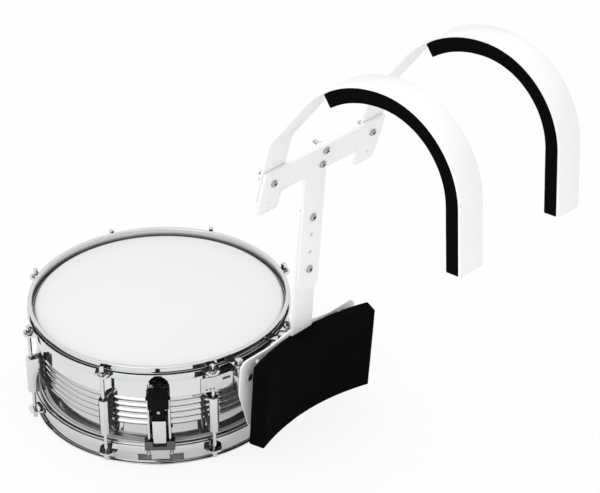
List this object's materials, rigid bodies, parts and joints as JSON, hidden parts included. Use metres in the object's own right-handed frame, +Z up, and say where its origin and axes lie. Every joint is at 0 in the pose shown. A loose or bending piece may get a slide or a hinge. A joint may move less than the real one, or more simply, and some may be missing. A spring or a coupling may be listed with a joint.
{
  "type": "marching snare drum",
  "caption": "Shallow marching snare drum with a beaded chrome shell, hung on a white shoulder carrier with black foam pads.",
  "frame": {"origin": "the middle of the model's box, at the surface that the drum's bottom rim stands on", "axes": "+Z up along the drum's axis, +Y from the player to the drum, +X to the player's right"},
  "size_m": [0.3862, 0.774, 0.6628],
  "materials": {
    "chrome": "polished chrome plate",
    "film": "coated white film",
    "wire": "bright steel",
    "black_plastic": "black, satin",
    "bracket_steel": "plated steel",
    "white_coat": "white powder coat",
    "black_foam": "black closed-cell foam",
    "zinc": "zinc plate"
  },
  "bodies": {
    "frame": {"arm_bolt_left": "zinc", "arm_bolt_right": "zinc", "batter_head": "film", "belly_pad": "black_foam", "bottom_hoop": "chrome", "bottom_rod_1": "chrome", "bottom_rod_2": "chrome", "bottom_rod_3": "chrome", "bottom_rod_4": "chrome", "bottom_rod_5": "chrome", "bottom_rod_6": "chrome", "bottom_rod_7": "chrome", "bottom_rod_8": "chrome", "butt_clamp": "chrome", "butt_plate": "chrome", "cross_bolt_lower": "zinc", "cross_bolt_upper": "zinc", "cross_piece": "white_coat", "drum_bracket": "bracket_steel", "hoop_claw_left": "chrome", "hoop_claw_right": "chrome", "lower_post": "white_coat", "lug_1": "chrome", "lug_2": "chrome", "lug_3": "chrome", "lug_4": "chrome", "lug_5": "chrome", "lug_6": "chrome", "lug_7": "chrome", "lug_8": "chrome", "mounting_plate": "white_coat", "plate_bolt_left": "zinc", "plate_bolt_right": "zinc", "post_bolt_lower": "zinc", "post_bolt_upper": "zinc", "shell": "chrome", "snare_head": "film", "snare_set": "wire", "strainer_base": "chrome", "top_hoop": "chrome", "top_rod_1": "chrome", "top_rod_2": "chrome", "top_rod_3": "chrome", "top_rod_4": "chrome", "top_rod_5": "chrome", "top_rod_6": "chrome", "top_rod_7": "chrome", "top_rod_8": "chrome", "upper_post": "white_coat", "vent_grommet": "chrome"},
    "lever": {"strainer_lever": "black_plastic"},
    "slide": {"strainer_slide": "chrome", "strainer_clamp": "chrome"},
    "knob": {"strainer_knob": "black_plastic"},
    "arm_left": {"shoulder_arm_left": "white_coat", "shoulder_pad_left": "black_foam"},
    "arm_right": {"shoulder_arm_right": "white_coat", "shoulder_pad_right": "black_foam"},
    "wing_nut_left": {"arm_wing_nut_left": "zinc"},
    "wing_nut_right": {"arm_wing_nut_right": "zinc"}
  },
  "joints": [
    {"name": "lever_throw", "type": "hinge", "parent": "frame", "child": "lever", "pos_m": [-0.13738, 0.05417, 0.09335], "axis": [0.7133, -0.7009, 0], "range_deg": [0, 95]},
    {"name": "snare_slide", "type": "slide", "parent": "frame", "child": "slide", "axis": [0, 0, -1], "range_m": [0, 0.006]},
    {"name": "knob_turn", "type": "hinge", "parent": "slide", "child": "knob", "pos_m": [-0.13808, 0.05346, 0.14], "axis": [0, 0, 1], "continuous": true},
    {"name": "arm_swivel_left", "type": "hinge", "parent": "frame", "child": "arm_left", "pos_m": [-0.029, -0.05556, 0.4599], "axis": [0, 0.9622, 0.2723], "range_deg": [-8, 8]},
    {"name": "wing_nut_spin_left", "type": "hinge", "parent": "frame", "child": "wing_nut_left", "pos_m": [-0.029, -0.05556, 0.4599], "axis": [0, 0.9622, 0.2723], "continuous": true},
    {"name": "arm_swivel_right", "type": "hinge", "parent": "frame", "child": "arm_right", "pos_m": [0.162, -0.05556, 0.4599], "axis": [0, 0.9622, 0.2723], "range_deg": [-8, 8]},
    {"name": "wing_nut_spin_right", "type": "hinge", "parent": "frame", "child": "wing_nut_right", "pos_m": [0.162, -0.05556, 0.4599], "axis": [0, 0.9622, 0.2723], "continuous": true}
  ],
  "couplings": [
    {"joint": "lever_throw", "follows": "snare_slide", "rad_per_m": 276}
  ]
}
